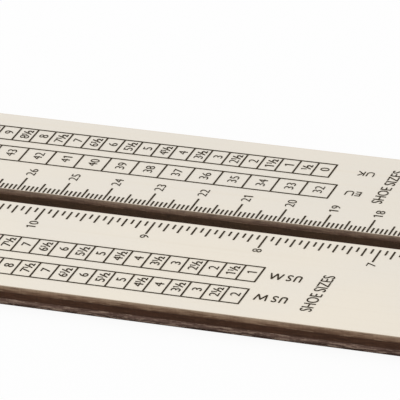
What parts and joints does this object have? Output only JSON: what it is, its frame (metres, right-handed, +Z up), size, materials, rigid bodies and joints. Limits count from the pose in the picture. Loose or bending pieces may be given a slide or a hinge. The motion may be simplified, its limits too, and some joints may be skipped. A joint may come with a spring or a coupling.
{
  "type": "sock ruler",
  "caption": "Flat white-faced plywood ruler for measuring socks, with a long slot between a centimetre scale and an inch scale, and rows of shoe sizes along both edges.",
  "frame": {"origin": "centre of the underside's bounding rectangle, on the face that rests on the table", "axes": "+X along the board towards its rounded toe end, +Y across it towards the half with the centimetre scale and the UK and EU rows, +Z up out of the white face"},
  "size_m": [0.325, 0.0764, 0.0046],
  "materials": {
    "back_wood": "raw plywood veneer with burnt cut edges",
    "core_wood": "end grain of the cross veneer, darkened by the laser",
    "face_wood": "veneer edge browned by the laser",
    "white_facing": "cream white satin lacquer",
    "dark_print": "matt dark brown print"
  },
  "bodies": {
    "root": {"back_veneer": "back_wood", "core_veneer": "core_wood", "face_veneer": "face_wood", "white_facing": "white_facing", "centimetre_scale": "dark_print", "inch_scale": "dark_print", "uk_size_row": "dark_print", "eu_size_row": "dark_print", "us_men_size_row": "dark_print", "us_women_size_row": "dark_print"}
  },
  "joints": []
}
